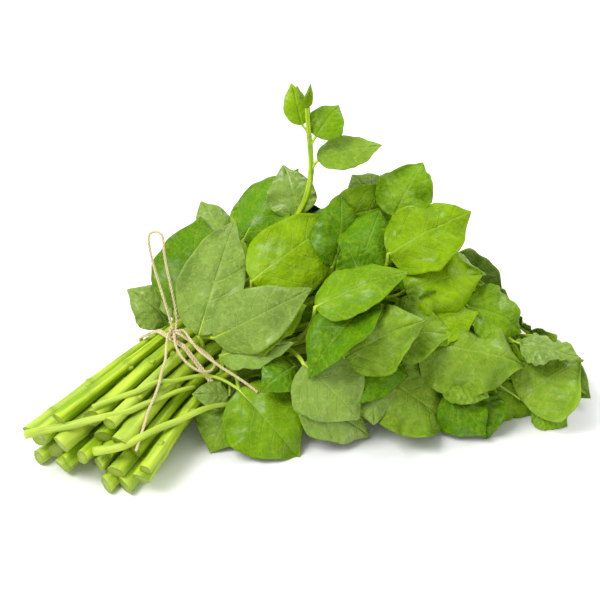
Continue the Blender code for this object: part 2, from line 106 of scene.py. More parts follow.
# %% Lines
def along(values, s):
    """The smooth curve through values, read at s, which is 0 at the first of them and 1 at the second."""
    i = max(0, min(int(s), len(values) - 2))
    t = s - i
    b, c = values[i], values[i + 1]
    a = values[i - 1] if i else 2 * b - c
    d = values[i + 2] if i + 2 < len(values) else 2 * c - b
    return 0.5 * (2 * b + (c - a) * t + (2 * a - 5 * b + 4 * c - d) * t**2 + (3 * b - a - 3 * c + d) * t**3)


def evenly(points, count, closed=False):
    """The line through points, walked again in count equal steps."""
    points = list(points) + ([points[0]] if closed else [])
    reach = [0.0]
    for a, b in zip(points, points[1:]):
        reach.append(reach[-1] + (b - a).length)
    walked, k = [], 0
    for i in range(count if closed else count + 1):
        want = reach[-1] * i / count
        while k < len(reach) - 2 and reach[k + 1] < want:
            k += 1
        walked.append(points[k].lerp(points[k + 1], (want - reach[k]) / max(reach[k + 1] - reach[k], 1e-9)))
    return walked


def length_of(line):
    return sum((b - a).length for a, b in zip(line, line[1:]))


def outward(pair, angle):
    """The direction at an angle in the plane of a pair of directions."""
    return pair[0] * math.cos(angle) + pair[1] * math.sin(angle)


def carried_frames(line, start=UP, closed=False):
    """For each point of a line, two directions across it, carried along so that they never flip."""
    frames = []
    side = start
    for i in range(len(line)):
        before = line[i - 1] if i or closed else line[0]
        ahead = (line[(i + 1) % len(line)] if closed else line[min(i + 1, len(line) - 1)]) - before
        ahead.normalize()
        side = side - ahead * side.dot(ahead)
        if side.length < 1e-4:
            side = ahead.orthogonal()
        side.normalize()
        frames.append((side, ahead.cross(side)))
    return frames


def smooth(x, low, high):
    """0 below low, 1 above high, and an S-shaped climb between them."""
    t = max(0.0, min(1.0, (x - low) / (high - low)))
    return t * t * (3 - 2 * t)


print("halfway along three points:", along([Vector((0, 0, 0)), Vector((1, 0, 0)), Vector((2, 1, 0))], 1.5))

# %% [markdown]
# ## Shader maths written as sums
# A material is a graph of nodes. Written node by node it is hard to read, so one small class holds a
# node's output and lets it be added and multiplied like a number. Every other node comes from one method
# that takes the node's type, its settings and what goes into its sockets.

# %% Shader helper
def maths(operation, reflected=False):
    """The method for one operator. Reflected is for sums like 1 - mask, where the number comes first."""

    def method(flow, other):
        a, b = (other, flow) if reflected else (flow, other)
        return flow.finish.node("Math", {"operation": operation}, {0: a, 1: b})

    return method


class Flow:
    """An output of a shader node. Sums written with it add Math nodes to the same material."""

    __add__, __radd__ = maths("ADD"), maths("ADD", reflected=True)
    __sub__, __rsub__ = maths("SUBTRACT"), maths("SUBTRACT", reflected=True)
    __mul__, __rmul__ = maths("MULTIPLY"), maths("MULTIPLY", reflected=True)

    def __init__(self, finish, socket):
        self.finish, self.socket = finish, socket

    def __abs__(self):
        return self.finish.node("Math", {"operation": "ABSOLUTE"}, {0: self})


class Finish:
    """A material, built up node by node."""

    def __init__(self, name, **steady):
        self.material = bpy.data.materials.new(name)
        self.material.use_nodes = True
        self.tree = self.material.node_tree
        self.shader = self.tree.nodes["Principled BSDF"]
        for socket, value in steady.items():
            self.shader.inputs[socket.replace("_", " ")].default_value = value

    def node(self, kind, settings=None, sockets=None, output=0):
        """One node of a kind: its settings first, then its sockets from values or from other nodes."""
        made = self.tree.nodes.new(f"ShaderNode{kind}")
        for name, value in (settings or {}).items():
            if name == "stops":
                while len(made.color_ramp.elements) < len(value):
                    made.color_ramp.elements.new(0.5)
                for stop, (place, colour) in zip(made.color_ramp.elements, value):
                    stop.position, stop.color = place, colour
            else:
                setattr(made, name, value)
        for name, value in (sockets or {}).items():
            if isinstance(value, Flow):
                self.tree.links.new(value.socket, made.inputs[name])
            else:
                made.inputs[name].default_value = value
        return Flow(self, made.outputs[output])

    def value(self, name, output="Fac"):
        """A value that the mesh carries at its corners."""
        return self.node("Attribute", {"attribute_name": name}, output=output)

    def parts(self, vector):
        """The three numbers of a vector."""
        return [self.node("SeparateXYZ", sockets={0: vector}, output=k) for k in range(3)]

    def feed(self, **surface):
        for socket, flow in surface.items():
            self.tree.links.new(flow.socket, self.shader.inputs[socket.replace("_", " ")])

    def bump(self, height, distance, strength=1.0):
        settled = {"Height": height, "Distance": distance, "Strength": strength}
        self.feed(Normal=self.node("Bump", sockets=settled))


def climb(x, low, high):
    """0 below low and 1 above high, with a soft climb between them."""
    return x.finish.node("MapRange", {"interpolation_type": "SMOOTHSTEP"}, {0: x, 1: low, 2: high})


def clouds(place, scale, detail=3.0, roughness=0.55):
    settled = {"Vector": place, "Scale": scale, "Detail": detail, "Roughness": roughness}
    return place.finish.node("TexNoise", sockets=settled)


def blend(share, a, b):
    """Colour a where share is 0, and b where it is 1."""
    finish = next(given.finish for given in (share, a, b) if isinstance(given, Flow))
    return finish.node("Mix", {"data_type": "RGBA"}, {0: share, 6: a, 7: b}, output=2)


def colour(red, green, blue):
    """A colour given as a screen shows it, from 0 to 255, as the linear colour that a shader takes."""
    shares = [channel / 255 for channel in (red, green, blue)]
    return (*[c / 12.92 if c <= 0.04045 else ((c + 0.055) / 1.055) ** 2.4 for c in shares], 1.0)


print("mid green in linear light:", [round(c, 3) for c in colour(120, 160, 50)])

# %% [markdown]
# ## Jute twine
# Jute twine is three yarns twisted together. Its yarns are dull and straw-coloured, with darker flecks
# and loose fibres. The yarns are modelled, because their shadow in the grooves is what makes twine look
# like twine, and the flecks and the run of the fibres come from the material.

# %% Jute material
jute = Finish("jute_twine", Roughness=0.9, Sheen_Weight=0.25, Sheen_Roughness=0.5)
yarn = jute.value("yarn_run", "Vector")
fibre = clouds(yarn, 1.0, 4.0, 0.7)
fleck = clouds(jute.node("TexCoord", output="Object"), 700.0, 2.0)
straw = blend(climb(fibre, 0.35, 0.65), colour(198, 180, 126), colour(238, 224, 180))
jute.feed(Base_Color=blend(climb(fleck, 0.6, 0.75) * 0.5, straw, colour(172, 148, 98)))
jute.bump(fibre, 0.0002, 0.8)
print("jute nodes:", len(jute.tree.nodes))


# %% Twine geometry
TWINE_DIAMETER = 1.6 * MM
YARNS = 3
YARN_RADIUS = 0.39 * MM
YARN_OFFSET = 0.44 * MM
TWIST_LENGTH = 6.4 * MM
YARN_SIDES = 7


class Shape:
    """Points and faces that grow into one mesh, with values that the materials read at the points."""

    def __init__(self, *carried):
        self.points, self.faces, self.slots = [], [], []
        self.carried = {name: [] for name in carried}

    def point(self, place, **values):
        self.points.append(place)
        for name, found in self.carried.items():
            found.append(values.get(name, (0.0, 0.0, 0.0)))
        return len(self.points) - 1

    def face(self, *corners, slot=0):
        self.faces.append(corners)
        self.slots.append(slot)

    def rings(self, rings, slot=0, closed=False):
        """Joins rings of points, which have the same count, into a skin."""
        pairs = list(zip(rings, rings[1:])) + ([(rings[-1], rings[0])] if closed else [])
        for a, b in pairs:
            for k in range(len(a)):
                n = (k + 1) % len(a)
                self.face(a[k], a[n], b[n], b[k], slot=slot)

    def tube(self, line, radii, sides, carry=None, slot=0, start=UP, closed=False, caps=True):
        """A round tube with a radius for each point of its line. carry gives the values at (i, angle)."""
        rings = []
        for i, (middle, pair) in enumerate(zip(line, carried_frames(line, start, closed))):
            ring = []
            for k in range(sides):
                angle = 2 * math.pi * k / sides
                values = carry(i, angle) if carry else {}
                ring.append(self.point(middle + outward(pair, angle) * radii[i], **values))
            rings.append(ring)
        self.rings(rings, slot, closed)
        if caps and not closed:
            self.face(*reversed(rings[0]), slot=slot)
            self.face(*rings[-1], slot=slot)

    def make(self, name, *finishes):
        mesh = bpy.data.meshes.new(name)
        mesh.from_pydata([tuple(p) for p in self.points], [], self.faces)
        for carried, values in self.carried.items():
            store = mesh.attributes.new(carried, "FLOAT_VECTOR", "POINT")
            store.data.foreach_set("vector", [c for value in values for c in value])
        for finish in finishes:
            mesh.materials.append(finish.material)
        mesh.polygons.foreach_set("material_index", self.slots)
        mesh.polygons.foreach_set("use_smooth", [True] * len(self.faces))
        return put(name, mesh)


def twist_yarns(shape, line, closed=False):
    """Three yarns twisted round a line."""
    turns = max(1, round(length_of(line) / TWIST_LENGTH))
    frames = carried_frames(line, closed=closed)
    for yarn_number in range(YARNS):
        strand = []
        for i, (middle, pair) in enumerate(zip(line, frames)):
            angle = 2 * math.pi * (turns * i / (len(line) - 1) + yarn_number / YARNS)
            strand.append(middle + outward(pair, angle) * YARN_OFFSET)
        radii = [YARN_RADIUS * (1 + 0.1 * noise.noise(p * 400)) for p in strand]

        def carry(i, angle, shift=yarn_number * 37.0):
            return {"yarn_run": (i * 0.12 + shift, 4 * math.cos(angle), 4 * math.sin(angle))}

        shape.tube(strand, radii, YARN_SIDES, carry, closed=closed)


def add_fuzz(shape, line, draw, per_mm=0.9):
    """Loose fibres that stand off the twine."""
    frames = carried_frames(line)
    for _ in range(int(length_of(line) / MM * per_mm)):
        i = draw.randrange(8, len(line) - 8)
        out = outward(frames[i], draw.uniform(0, 2 * math.pi))
        way, stand = draw.choice((-1, 1)), draw.uniform(0.4, 1.2) * MM
        loose = [line[i + way * k] + out * (0.6 * MM + stand * (k / 7) ** 1.5) for k in (0, 2, 4, 7)]
        shape.tube(loose, [0.05 * MM, 0.045 * MM, 0.035 * MM, 0.01 * MM], 3, caps=False)


print("yarn turns on 100 mm of twine:", round(100 * MM / TWIST_LENGTH))

# %% [markdown]
# ## The bow's loops and loose ends
# The bow has two loops and two loose ends, which hang over the stems and leaves. They follow the routes
# of the solids, and run on into the knot. The length of each is printed.

# %% Loops and ends
TWINE_ROUTES = {
    "twine_loop_upper": (
        (-73.3, 5, 55.5), (-74.5, 8.5, 58.5), (-77, 13, 66), (-81, 20, 77), (-84.6, 26, 88),
        (-86.2, 29, 96), (-86.6, 30.3, 101.8), (-85.4, 30.9, 104.8), (-82.4, 31, 106),
        (-79.4, 30.5, 104.8), (-78.2, 29.6, 101.8), (-78, 27.6, 95.8), (-76.8, 24.2, 87.5),
        (-74.5, 19, 78), (-72, 13, 67), (-71, 8.5, 59), (-71.6, 5, 55.5),
    ),
    "twine_loop_lower": (
        (-72.2, 1.6, 55.6), (-71.8, -0.6, 55.8), (-70.5, -8, 52.8), (-65, -14.5, 47.5), (-57, -17, 42.5),
        (-51, -14, 40.5), (-49, -8.5, 41.5), (-53, -4.5, 44.8), (-60.5, -2, 50), (-68.6, 0, 55.8),
        (-71.2, 1.4, 56),
    ),
    "twine_tail_left": (
        (-74.2, 2.9, 55.4), (-75.5, 0.2, 55.5), (-76, -8, 54), (-76, -17, 51.2), (-77.5, -25, 49),
        (-79, -33, 45), (-81, -40.5, 42), (-83.8, -48.5, 38.8), (-85.2, -56, 36.4), (-87.2, -63, 32.6),
        (-89, -70.5, 29.2),
    ),
    "twine_tail_right": (
        (-70.6, 4.4, 55.2), (-66.6, 3.4, 56.2), (-62.5, -5, 56), (-57.5, -11, 53), (-51, -15.5, 50),
        (-44, -18.5, 46), (-37, -20.5, 42), (-30, -23, 38), (-24, -26, 34.5),
    ),
}
STEP_ALONG_TWINE = 0.6 * MM


def fine_line(route, closed=False):
    rough = [along(route, i / 12) for i in range(12 * (len(route) - 1) + 1)]
    length = length_of(rough)
    return evenly(rough, round(length / STEP_ALONG_TWINE), closed), length


fuzz_draw = random.Random(5)
for name, spots in TWINE_ROUTES.items():
    route = [mm(*spot) for spot in spots]
    line, length = fine_line(route)
    shape = Shape("yarn_run")
    twist_yarns(shape, line)
    add_fuzz(shape, line, fuzz_draw)
    piece = shape.make(f"laid_{name}", jute)
    [tuple(p) for p in line]
    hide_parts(name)
    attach(piece, "root")
    print(name, "is", round(length / MM), "mm long")

# %% [markdown]
# ## Where the stems run
# Twenty-five stems fan out from the cut ends, draw together at the neck and spread again among the
# leaves. The same few numbers that laid out the solids give each stem's line here, so the fine stems fill
# the same places.

# %% Stem lines
SHEAF = (
    (mm(-118, -63, 25), 40 * MM, 17 * MM),
    (mm(-72, 6, 30), 29 * MM, 16 * MM),
    (mm(-20, 34, 47), 34 * MM, 22 * MM),
    (mm(38, 43, 52), 37 * MM, 30 * MM),
    (mm(92, 31, 42), 35 * MM, 25 * MM),
    (mm(134, 9, 27), 25 * MM, 16 * MM),
)
NECK = 1.0
ROWS = (5, 6, 7, 4, 3)
ROW_PITCH = 9.6 * MM
CUT_RADIUS = (3.3 * MM, 5.3 * MM)
CUT_SKEW = 0.14
NECK_SHARE = 0.84
TIP_RADIUS = 1.3 * MM
STEM_END = (3.2, 4.9)
SWAY = 2.4 * MM
SPRIG_STEM = 22
SPRIG = (mm(-24, 44, 76), mm(-4, 53, 98), mm(6, 56, 126), mm(4, 62, 168))


def sheaf_place(station, across, up):
    """A place in the sheaf, with across and up as shares of its half width and half height there."""
    middle, width, height = SHEAF[station]
    before, after = SHEAF[max(station - 1, 0)][0], SHEAF[min(station + 1, len(SHEAF) - 1)][0]
    side = (after - before).cross(UP).normalized()
    return middle + side * (across * width) + UP * (up * height)


class Stem:
    """One stem: its course through the sheaf, its ends and its thickness."""

    def __init__(self, index, across, up, draw):
        self.index = index
        self.name = f"leafy_stem_{index + 1:02d}"
        self.cut_radius = draw.uniform(*CUT_RADIUS)
        self.start = draw.uniform(-0.09, 0.1) + CUT_SKEW * across
        self.end = draw.uniform(*STEM_END)
        sway = Vector((draw.uniform(-1, 1), draw.uniform(-1, 1), draw.uniform(-1, 1))) * SWAY
        self.course = [sheaf_place(station, across, up) for station in range(len(SHEAF))]
        self.course[0] += sway
        if index == SPRIG_STEM:
            self.course[2:] = SPRIG
            self.end = len(self.course) - 1

    def point(self, s):
        return along(self.course, s)

    def forward(self, s):
        return (self.point(s + 0.04) - self.point(s - 0.04)).normalized()

    def steps(self, count):
        return [self.start + (self.end - self.start) * i / count for i in range(count + 1)]

    def radius(self, s):
        neck = self.cut_radius * NECK_SHARE
        if s < NECK:
            return self.cut_radius + (neck - self.cut_radius) * max(0, s)
        return neck + (TIP_RADIUS - neck) * (s - NECK) / (self.end - NECK)


stem_draw = random.Random(1271)
stems = []
for row, count in enumerate(ROWS):
    for place in range(count):
        across = (place - (count - 1) / 2) * ROW_PITCH / SHEAF[1][1]
        stems.append(Stem(len(stems), across, 2 * row / (len(ROWS) - 1) - 1, stem_draw))
print("stems:", len(stems), "length of the sheaf in mm:", round((SHEAF[-1][0] - SHEAF[0][0]).length / MM))

# %% [markdown]
# ## Reading the leaves off the solids
# Each solid leaf is a thin wedge: rings of six corners from its stalk to its tip. Placing a hundred leaves
# by hand would be slow, so the script reads each one from the model. Away from its stem, a leaf is a loose
# island of corners. Its tip is the corner furthest out, and each ring lies in one plane, so sorting the
# others from the tip backwards gives the rings six by six.

# %% Read the leaves
TIP_GAP = 1.2 * MM
READ_AT = 0.42
FEWEST_CORNERS = 24


def near_stem(place, stem, spots):
    """Whether a place lies on the stem's own solid, which is a six-sided tube between its spots."""
    for a, b in zip(spots, spots[1:]):
        low, high = stem.point(a), stem.point(b)
        share = (place - low).dot(high - low) / (high - low).length_squared
        if -0.02 <= share <= 1.02:
            radius = stem.radius(a) + (stem.radius(b) - stem.radius(a)) * share
            if (low.lerp(high, share) - place).length < radius + 0.03 * MM:
                return True
    return False


def outline(u):
    """The half width of a leaf at u along it, as a share of the widest."""
    return math.sin(math.pi * min(max(u, 0.0), 0.9999) ** 0.7) ** 0.75


def stalk_bend(stem, s, base):
    """The middle of a stalk, which leaves its stem along it and then turns to the blade."""
    root = stem.point(s)
    reach = base - root
    corner = root + stem.forward(s) * (reach.length * 0.3) + reach * 0.3
    return root * 0.25 + corner * 0.5 + base * 0.25


class Leaf:
    """A leaf's measurements: across is roughly the way that its width runs."""

    def __init__(self, stem, s, base, tip, across, width, bow=0.08, cup=0.15, inner=False):
        self.stem, self.s, self.base, self.tip = stem, s, base, tip
        self.length, self.forward = (tip - base).length, (tip - base).normalized()
        self.side = (across - self.forward * across.dot(self.forward)).normalized()
        self.normal = self.side.cross(self.forward)
        self.width, self.bow, self.cup, self.inner = width, bow, cup, inner


def furthest_apart(ring):
    return max(((p, q) for p in ring for q in ring), key=lambda pair: (pair[0] - pair[1]).length)


def edges_and_rib(ring):
    """The left edge, the rib and the right edge of a ring of six corners."""
    a, b = furthest_apart(ring)
    ordered = sorted(ring, key=lambda p: p.dot(b - a))
    return [(ordered[k] + ordered[k + 1]) / 2 for k in (0, 2, 4)]


def measured(stem, tip, middle, collar, bend):
    """A leaf measured on three of its rings: the middle one, the one at its base and one in its stalk."""
    base, bend_point = sum(collar, Vector()) / len(collar), sum(bend, Vector()) / len(bend)
    left, rib, right = edges_and_rib(middle)
    across, half, length = right - left, (right - left).length / 2, (tip - base).length
    normal = across.cross(tip - base).normalized()
    if (rib - base).dot(normal) < 0:
        across, normal = -across, -normal
    bow = (rib - base).dot(normal) / (4 * READ_AT * (1 - READ_AT) * length)
    cup = (rib - (left + right) / 2).dot(normal) / half
    s = min(stem.steps(400), key=lambda s: (stalk_bend(stem, s, base) - bend_point).length)
    return Leaf(stem, s, base, tip, across, 2 * half / outline(READ_AT), bow, cup)


def square_to(ring, tip):
    """The direction square to a flat ring of corners, on the side where the tip is."""
    a, b = furthest_apart(ring)
    thin = min((q - a for q in ring if q != a), key=lambda gap: gap.length)
    forward = (b - a).cross(thin).normalized()
    return forward if forward.dot(tip - a) > 0 else -forward


def in_order(corners):
    """The places of some corners in the order of their mesh, which a set doesn't keep."""
    return [v.co.copy() for v in sorted(corners, key=lambda v: v.index)]


def read_leaves(stem):
    """The leaves of one stem, from the islands of corners of its solid."""
    mesh = bmesh.new()
    mesh.from_mesh(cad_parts[stem.name].data)
    bmesh.ops.remove_doubles(mesh, verts=mesh.verts, dist=0.01 * MM)
    mesh.verts.index_update()
    spots = [stem.start, 0.5, NECK] + [1.5 + (stem.end - 1.5) * i / 6 for i in range(7)]
    loose = {v for v in mesh.verts if not near_stem(v.co, stem, spots)}
    leaves, seen = [], set()
    for first in mesh.verts:
        if first not in loose or first in seen:
            continue
        island, front = {first}, [first]
        while front:
            corner = front.pop()
            for edge in corner.link_edges:
                other = edge.other_vert(corner)
                if other in loose and other not in island:
                    island.add(other)
                    front.append(other)
        seen |= island
        if len(island) < FEWEST_CORNERS:
            continue
        roots = in_order(v for v in island if any(e.other_vert(v) not in loose for e in v.link_edges))
        root = sum(roots, Vector()) / max(len(roots), 1)
        tip = max(island, key=lambda v: (v.co - root).length)
        ends = {tip} | {e.other_vert(tip) for e in tip.link_edges if e.calc_length() < TIP_GAP}
        outer = {e.other_vert(v) for v in ends for e in v.link_edges} & island - ends
        if len(ends) != 2 or len(outer) != 6:
            print("  an island of", len(island), "corners on", stem.name, "is not read")
            continue
        tip_point = sum(in_order(ends), Vector()) / 2
        forward = square_to(in_order(outer), tip_point)
        rest = in_order(island - ends - outer)
        rest.sort(key=lambda p: (tip_point - p).dot(forward))
        leaves.append(measured(stem, tip_point, rest[:6], rest[12:18], rest[18:24] or [root]))
    mesh.free()
    return leaves


leaves_of = {stem.name: read_leaves(stem) for stem in stems}
lengths = [leaf.length / MM for leaves in leaves_of.values() for leaf in leaves]
print("leaves read:", len(lengths), "mean length in mm:", round(sum(lengths) / len(lengths)))

# %% [markdown]
# ## Leaves deep in the bunch
# The small leaves between the shoots are hardly seen, but without them the floor shows through. They are
# too many and too crowded for solids of their own, so they are only drawn, in the dark middle.

# %% Inner leaves
INNER_LEAVES = 44
INNER_FROM, INNER_TO = 1.45, 3.6
BESIDE_STEM = 5 * MM


def inner_leaf(draw):
    """A small leaf beside a stem, somewhere in the middle of the bunch."""
    stem = draw.choice([stem for stem in stems if stem.index != SPRIG_STEM])
    s = draw.uniform(INNER_FROM, min(stem.end - 0.5, INNER_TO))
    ahead = stem.forward(s)
    side = ahead.orthogonal()
    out = (side * draw.uniform(-1, 1) + ahead.cross(side) * draw.uniform(-1, 1)).normalized()
    base = stem.point(s) + out * BESIDE_STEM + ahead * BESIDE_STEM
    tip = base + (ahead * 0.8 + out * 0.35).normalized() * draw.uniform(24, 34) * MM
    across = ahead.cross(Vector((0, -0.82, 0.57))) + out * draw.uniform(-0.5, 0.5)
    return Leaf(stem, s, base, tip, across, draw.uniform(17, 24) * MM, inner=True)


inner_draw = random.Random(8)
for _ in range(INNER_LEAVES):
    leaf = inner_leaf(inner_draw)
    leaves_of[leaf.stem.name].append(leaf)
print("inner leaves:", INNER_LEAVES)

# %% [markdown]
# ## The leaf's colours and veins
# A leaf of Malabar spinach is thick, smooth and waxy: fresh green above and paler below, with five or six
# pairs of pale veins that arch towards its tip. Painting the veins would need an image. Here the mesh
# tells the shader how far each point lies along and across its leaf and which veins it lies between, so
# they are drawn from numbers and stay sharp at any distance.

# %% Leaf material
leaf_finish = Finish("spinach_leaf", Coat_Roughness=0.22, Specular_IOR_Level=0.08)
u, v, side = leaf_finish.parts(leaf_finish.value("leaf_place", "Vector"))
_, out_mm, rank = leaf_finish.parts(leaf_finish.value("leaf_mm", "Vector"))
paleness, vein_strength, ageing = leaf_finish.parts(leaf_finish.value("leaf_look", "Vector"))
tone = leaf_finish.value("leaf_tone", "Vector")
place = leaf_finish.node("TexCoord", output="Object")

cloudy = clouds(place, 42.0, 4.0, 0.6)
wax = climb(clouds(place, 90.0, 4.0, 0.6), 0.4, 0.7)
grain = clouds(place, 900.0, 2.0)
mottle = climb(clouds(place, 240.0, 3.0, 0.6), 0.5, 0.74)
folds = 1.0 - climb(abs(clouds(place, 75.0, 2.0) - 0.5), 0.0, 0.12)
puckers = 1.0 - climb(abs(clouds(place, 170.0, 1.0) - 0.5), 0.0, 0.2)
# The wrinkles sink in the bump, and their creases are also darkened in the colour as painted shade.
shaded_wrinkles = folds * 0.6 + puckers * 0.4
# Ridges of the crumpled blade: they rise in the bump and get a painted highlight in the colour.
highlit_ridges = 1.0 - climb(abs(clouds(place, 130.0, 3.0) - 0.5), 0.0, 0.06)
wobble = (clouds(place, 160.0, 2.0) - 0.5) * 0.16
from_vein = leaf_finish.node("Math", {"operation": "PINGPONG"}, {0: rank + wobble, 1: 0.5})
underside = climb(side * -1.0, -0.2, 0.2)
pairs = (1.0 - climb(from_vein, 0.015, 0.075)) * (1.0 - climb(abs(v), 0.72, 0.98))
midrib = 1.0 - climb(abs(out_mm) + u * 0.35, 0.35, 1.05)
cells = leaf_finish.node(
    "TexVoronoi", {"feature": "DISTANCE_TO_EDGE"}, {"Vector": place, "Scale": 330.0, "Randomness": 1.0}
)
net = 1.0 - climb(cells, 0.02, 0.16)
veins = leaf_finish.node("Math", {"operation": "MAXIMUM"}, {0: midrib, 1: pairs * 0.8})

lighter = blend(0.45, tone, colour(178, 202, 26))
# This darker colour serves both the dark patches of the blade and the painted shade in its creases.
dark_patch_and_crease_shade = blend(0.4, tone, colour(36, 72, 0))
flesh = blend(climb(cloudy, 0.25, 0.6), dark_patch_and_crease_shade, tone)
flesh = blend(climb(cloudy, 0.52, 0.78) * ageing, flesh, lighter)
flesh = blend(underside * 0.5 + paleness * 0.35, flesh, colour(124, 148, 82))
# Painted shade: the colour is darkened along the wrinkles and folds, where the creases would lie in shadow.
flesh = blend(shaded_wrinkles * 0.22, flesh, dark_patch_and_crease_shade)
# This pale colour serves both the paler blotches of the mottle and the painted highlights on the ridges.
pale_blotch_and_highlight = blend(paleness, lighter, colour(166, 190, 104))
flesh = blend(mottle * 0.42, flesh, pale_blotch_and_highlight)
# Painted highlight: pale streaks along the ridges stand in for the sheen that light leaves on a crumpled
# leaf.
flesh = blend(highlit_ridges * 0.26, flesh, pale_blotch_and_highlight)
flesh = blend(net * 0.1, flesh, colour(146, 170, 36))
flesh = blend(veins * vein_strength, flesh, colour(150, 176, 72))
leaf_finish.feed(
    Base_Color=flesh,
    Roughness=0.44 + grain * 0.12 + underside * 0.12 - wax * 0.12,
    Coat_Weight=wax * (paleness * 0.4 + 0.32) + paleness * 0.1,
)
relief = veins * (underside * 2.0 - 1.0) * 0.25 + grain * 0.06 + cloudy * 0.6
relief = relief + mottle * 0.3 + highlit_ridges * 0.12 - shaded_wrinkles * 0.36
leaf_finish.bump(relief, 0.0013, 0.8)
print("leaf nodes:", len(leaf_finish.tree.nodes))

# %% [markdown]
# ## Stem skin and cut faces
# The stems are juicy, pale green and streaked lengthwise. Where they were cut, a pale pith shows inside a
# greener ring. Both finishes read the mesh: the skin reads how far along its stem it lies, and the cut
# face its distance to the middle.

# %% Stem materials
stem_finish = Finish("stem_skin", Coat_Weight=0.08, Coat_Roughness=0.3, Specular_IOR_Level=0.28)
streak = clouds(stem_finish.value("stem_run", "Vector"), 1.0, 3.0, 0.6)
paling, joint, flecked = stem_finish.parts(stem_finish.value("stem_look", "Vector"))
speckle = clouds(stem_finish.node("TexCoord", output="Object"), 520.0, 2.0)
skin = blend(climb(streak, 0.36, 0.66), colour(130, 170, 2), colour(194, 218, 44))
skin = blend(paling, skin, colour(188, 208, 88))
skin = blend(joint * 0.5, skin, colour(108, 136, 18))
skin = blend(climb(speckle, 0.66, 0.76) * flecked * 0.55, skin, colour(128, 112, 40))
stem_finish.feed(Base_Color=skin, Roughness=0.34 + streak * 0.14)
stem_finish.bump(streak + speckle * 0.3, 0.0004, 0.6)

cut_finish = Finish("cut_face", Coat_Weight=0.1, Specular_IOR_Level=0.4)
from_middle = cut_finish.parts(cut_finish.value("stem_look", "Vector"))[0]
pores = clouds(cut_finish.node("TexCoord", output="Object"), 1400.0, 3.0)
wavering = from_middle + (pores - 0.5) * 0.5
cut_stops = (
    (0.0, colour(160, 176, 74)), (0.55, colour(148, 168, 52)), (0.72, colour(128, 152, 30)),
    (0.84, colour(142, 166, 36)), (1.0, colour(104, 126, 14)),
)
pith = cut_finish.node("ValToRGB", {"stops": cut_stops}, {"Fac": wavering})
cut_finish.feed(Base_Color=pith, Roughness=0.38 + pores * 0.2)
cut_finish.bump(pores, 0.0005, 0.8)
print("stem nodes:", len(stem_finish.tree.nodes), "cut face nodes:", len(cut_finish.tree.nodes))

# %% [markdown]
# ## One leaf
# A real blade is a thin quilted sheet: it bows along its length, cups across it, sinks at every vein and
# waves at its margin. A flat plane with a displacement modifier would do, but the script knows where the
# veins run, so plain sums shape the sheet. The blade gets two skins and a closed rim, and its stalk runs
# on beneath it as the midrib.

# %% Leaf geometry
ROWS_ALONG = 36
INNER_ROWS = 20
COLUMNS = (0.04, 0.1, 0.18, 0.27, 0.36, 0.46, 0.56, 0.66, 0.76, 0.85, 0.93, 1.0)
ACROSS = [-c for c in reversed(COLUMNS)] + [0.0] + list(COLUMNS)
VEIN_PAIRS = 6.2
BLADE_HALF_THICKNESS = 0.26 * MM
STALK_SIDES = 8
LOWEST_BLADE = 0.5 * MM


def vein_rank(x, y, length, half):
    """Which pair of veins a point x along and y across the leaf lies at: a whole number is on a vein."""
    return VEIN_PAIRS * (x - 0.6 * abs(y) - 0.45 * y * y / max(half, 1e-5)) / length + 0.35


def surface_of(leaf, draw, width=1.13, waves=1.0):
    """The middle sheet of a blade, as a function of u along it and v across it."""
    phase, beat = draw.uniform(0, 6.3), draw.uniform(1.5, 3.0)
    limp = waves * draw.uniform(0.6, 1.5)
    wave = limp * min(leaf.width * 0.065, 3.0 * MM)
    fold = draw.uniform(-0.12, 0.3) * waves
    rolls = [draw.choice((0, 0, 0.3, -0.3)) * waves for _ in range(2)]
    curl = draw.uniform(-0.03, 0.14) * leaf.length
    twist = draw.uniform(-0.3, 0.3)
    lopsided = draw.uniform(-0.09, 0.09)
    seed = Vector((draw.uniform(0, 50), draw.uniform(0, 50), draw.uniform(0, 50)))
    wide = leaf.width * width

    def half_at(u):
        half = wide / 2 * outline(u) * (1 - 0.36 * smooth(u, 0.7, 1.0))
        return max(half, 0.9 * MM * (1 - u) ** 0.5 + 0.12 * MM)

    def place(u, v):
        half, beside, right = half_at(u), abs(v), v > 0
        x, y = u * leaf.length, v * half
        rank = vein_rank(x, y, leaf.length, half)
        rise = leaf.bow * leaf.length * 4 * u * (1 - u) - leaf.cup * half * beside**1.5
        away_from_rim = (1 - smooth(beside, 0.7, 1.0)) * smooth(u, 0.0, 0.15) * (1 - smooth(u, 0.85, 1))
        quilting = smooth(beside, 0.02, 0.3) * away_from_rim * abs(math.sin(math.pi * rank)) ** 0.8
        rise += 0.7 * MM * waves * quilting - fold * half * beside
        rise += rolls[right] * half * smooth(beside, 0.55, 1.0) ** 2 * smooth(u, 0.1, 0.4)
        rise += 0.4 * MM * smooth(beside, 0.0, 0.12)
        edge = beside**2.2 * smooth(u, 0.0, 0.2) * (1 - 0.6 * smooth(u, 0.8, 1))
        rise += wave * edge * math.sin(6.28 * beat * u + phase + (1.9 if right else 0))
        spread = smooth(beside + u * 0.4, 0.05, 0.6)
        rise += noise.noise(Vector((x, y, 0)) * 38 + seed) * 3.4 * MM * limp * spread
        rise += noise.noise(Vector((x, y, 9)) * 95 + seed) * 2.0 * MM * limp
        rise += noise.noise(Vector((u * 12, 3 if right else 8, 0)) + seed) * 2.4 * MM * limp * edge
        rise -= curl * smooth(u, 0.62, 1.0) ** 1.5
        turn = twist * (u - 0.4) * v * half
        notch = noise.noise(Vector((u * 5, 2 if right else 7, 0)) + seed) * 0.1 * smooth(u, 0.05, 0.25)
        reach = y * (1 + notch + (lopsided if right else -lopsided))
        spot = leaf.base + leaf.forward * x + leaf.side * reach + leaf.normal * (rise + turn)
        spot.z = max(spot.z, LOWEST_BLADE)
        return spot, rank, y

    return place


